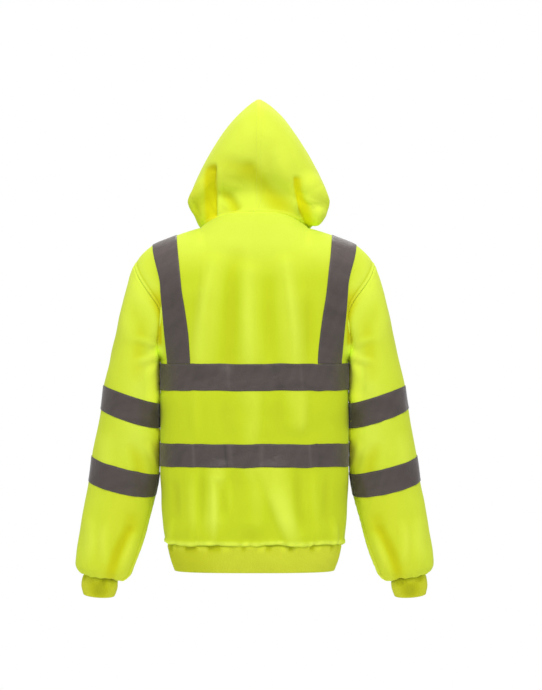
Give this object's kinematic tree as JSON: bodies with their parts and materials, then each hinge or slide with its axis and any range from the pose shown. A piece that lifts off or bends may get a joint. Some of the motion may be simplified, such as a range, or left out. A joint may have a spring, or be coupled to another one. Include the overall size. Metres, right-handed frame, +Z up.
{
  "type": "high-visibility hoodie",
  "caption": "High-visibility pullover hoodie filled out as worn, hood up, with reflective bands and braces, rib cuffs and hem.",
  "frame": {"origin": "middle of the neck opening, level with the high points of the shoulders, where the wearer's shoulders carry the garment", "axes": "+Z up, the front of the garment faces -Y, the wearer's left is +X"},
  "size_m": [0.7162, 0.2718, 0.9994],
  "materials": {
    "fleece_yellow": "matt fluorescent yellow sweatshirt fleece",
    "rib_knit_yellow": "matt fluorescent yellow rib knit",
    "reflective_tape": "grey reflective tape with a fine satin sheen"
  },
  "bodies": {
    "root": {"back_body": "fleece_yellow", "front_body": "fleece_yellow", "sleeve_left": "fleece_yellow", "sleeve_right": "fleece_yellow", "hood_left": "fleece_yellow", "hood_right": "fleece_yellow", "hem_band": "rib_knit_yellow", "cuff_left": "rib_knit_yellow", "cuff_right": "rib_knit_yellow", "tape_chest_back": "reflective_tape", "tape_chest_front": "reflective_tape", "tape_waist_back": "reflective_tape", "tape_waist_front": "reflective_tape", "brace_left": "reflective_tape", "brace_right": "reflective_tape", "tape_sleeve_upper_left": "reflective_tape", "tape_sleeve_upper_right": "reflective_tape", "tape_sleeve_lower_left": "reflective_tape", "tape_sleeve_lower_right": "reflective_tape"}
  },
  "joints": []
}
